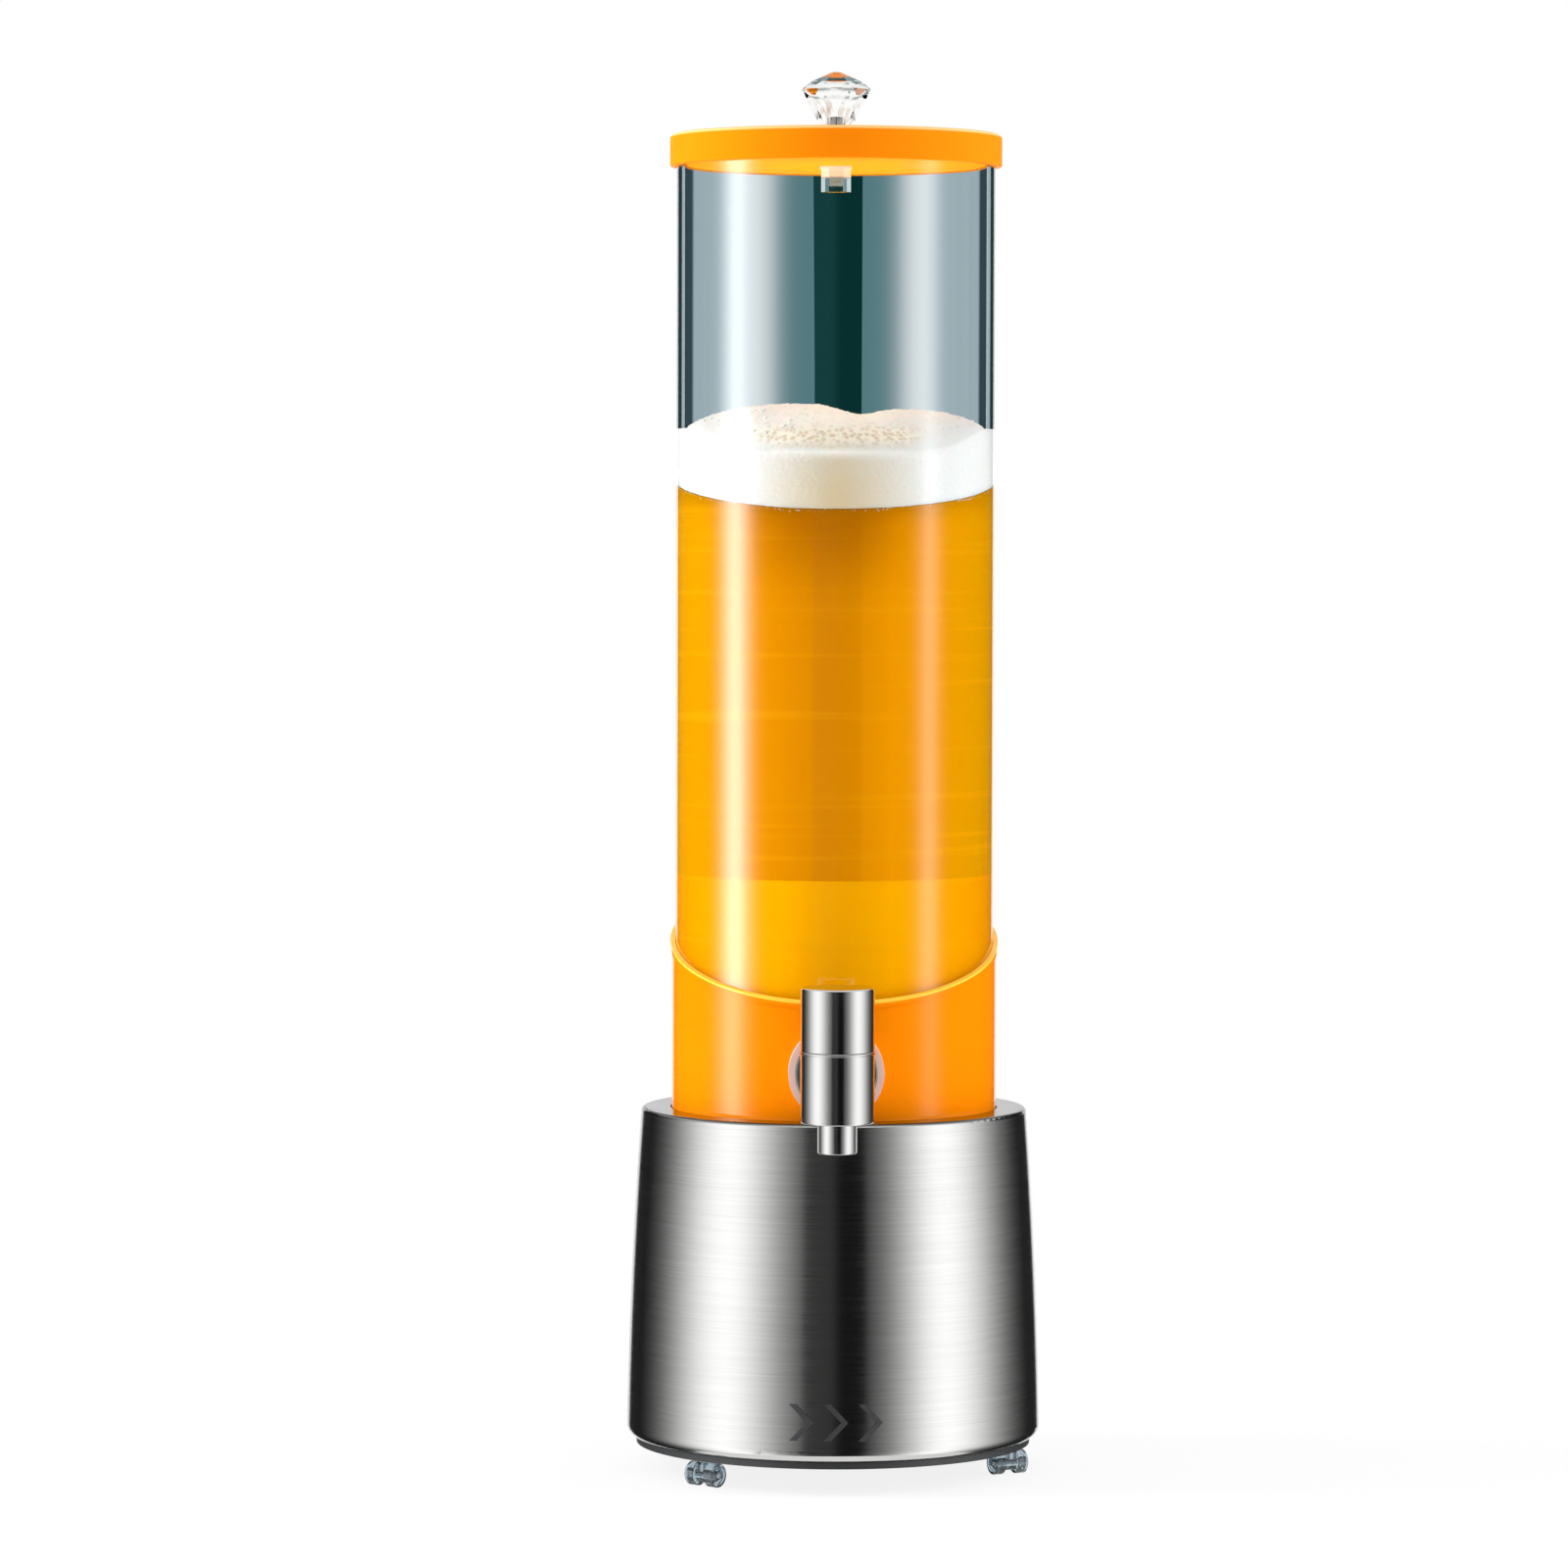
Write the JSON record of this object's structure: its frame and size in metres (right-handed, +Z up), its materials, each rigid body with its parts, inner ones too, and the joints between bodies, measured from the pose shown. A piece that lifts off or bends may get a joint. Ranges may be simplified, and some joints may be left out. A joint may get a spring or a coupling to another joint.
{
  "type": "beer tower dispenser",
  "caption": "Tabletop beer tower: clear tube in a sleeve on a round steel base, with a crystal-knobbed lid, a cylindrical quarter-turn tap in front and small swivel casters.",
  "frame": {"origin": "on the tube's axis, at the table that the wheels stand on", "axes": "+Z up along the tube, -Y towards the tap at the front, +X to the viewer's right"},
  "size_m": [0.1562, 0.18, 0.527],
  "materials": {
    "clear_acrylic": "clear, polished, a little smoky",
    "orange_plastic": "glossy moulded orange",
    "beer": "golden amber liquid",
    "foam": "creamy beer foam",
    "brushed_steel": "brushed round the axis",
    "chrome": "bright polished plating",
    "fastener_steel": "plain bright steel",
    "black_plastic": "dark moulded",
    "weight_iron": "painted iron",
    "pale_silicone": "pale pink, a little translucent",
    "dark_rubber": "smooth",
    "crystal": "cut and polished, clear",
    "caster_plastic": "translucent grey-blue",
    "mark_grey": "dark grey",
    "valve_brass": "machined"
  },
  "bodies": {
    "tower": {"tube": "clear_acrylic", "sleeve": "orange_plastic", "foot_seal": "pale_silicone", "beer": "beer", "foam_head": "foam", "base_shell": "brushed_steel", "base_core": "black_plastic", "bottom_plate": "black_plastic", "weight_plate": "weight_iron", "sleeve_screws": "fastener_steel", "plate_screws": "fastener_steel", "weight_screws": "fastener_steel", "direction_marks": "mark_grey", "caster_sockets": "fastener_steel", "tap_shank": "chrome", "outer_gasket": "pale_silicone", "inner_gasket": "pale_silicone", "shank_washer": "fastener_steel", "lock_nut": "chrome", "tap_body": "chrome", "nozzle": "chrome", "split_ring": "chrome", "stop_pin": "fastener_steel"},
    "lid": {"lid_cap": "orange_plastic", "lid_plug": "orange_plastic", "lid_seal": "pale_silicone", "crystal_knob": "crystal", "knob_stud": "fastener_steel", "knob_washer": "fastener_steel", "knob_nut": "crystal"},
    "tap_handle": {"tap_handle": "chrome", "valve_plug": "valve_brass", "valve_rings": "dark_rubber", "handle_grub_screw": "fastener_steel"},
    "caster_front_left": {"caster_housing_front_left": "caster_plastic", "caster_stem_front_left": "fastener_steel"},
    "wheels_front_left": {"caster_axle_front_left": "fastener_steel", "caster_wheels_front_left": "caster_plastic"},
    "caster_right": {"caster_housing_right": "caster_plastic", "caster_stem_right": "fastener_steel"},
    "wheels_right": {"caster_axle_right": "fastener_steel", "caster_wheels_right": "caster_plastic"},
    "caster_rear": {"caster_housing_rear": "caster_plastic", "caster_stem_rear": "fastener_steel"},
    "wheels_rear": {"caster_axle_rear": "fastener_steel", "caster_wheels_rear": "caster_plastic"}
  },
  "joints": [
    {"name": "lid_lift", "type": "slide", "parent": "tower", "child": "lid", "axis": [0, 0, 1], "range_m": [0, 0.08]},
    {"name": "tap_turn", "type": "hinge", "parent": "tower", "child": "tap_handle", "pos_m": [0, -0.088, 0.165], "axis": [0, 0, 1], "range_deg": [0, 90]},
    {"name": "swivel_front_left", "type": "hinge", "parent": "tower", "child": "caster_front_left", "pos_m": [-0.04585, -0.04748, 0.0092], "axis": [0, 0, 1], "continuous": true},
    {"name": "spin_front_left", "type": "hinge", "parent": "caster_front_left", "child": "wheels_front_left", "pos_m": [-0.0481, -0.05016, 0.0045], "axis": [0.766, -0.6428, 0], "continuous": true},
    {"name": "swivel_right", "type": "hinge", "parent": "tower", "child": "caster_right", "pos_m": [0.06404, -0.01597, 0.0092], "axis": [0, 0, 1], "continuous": true},
    {"name": "spin_right", "type": "hinge", "parent": "caster_right", "child": "wheels_right", "pos_m": [0.06552, -0.01914, 0.0045], "axis": [0.9063, 0.4226, 0], "continuous": true},
    {"name": "swivel_rear", "type": "hinge", "parent": "tower", "child": "caster_rear", "pos_m": [-0.01819, 0.06344, 0.0092], "axis": [0, 0, 1], "continuous": true},
    {"name": "spin_rear", "type": "hinge", "parent": "caster_rear", "child": "wheels_rear", "pos_m": [-0.01994, 0.06647, 0.0045], "axis": [-0.866, -0.5, 0], "continuous": true}
  ]
}
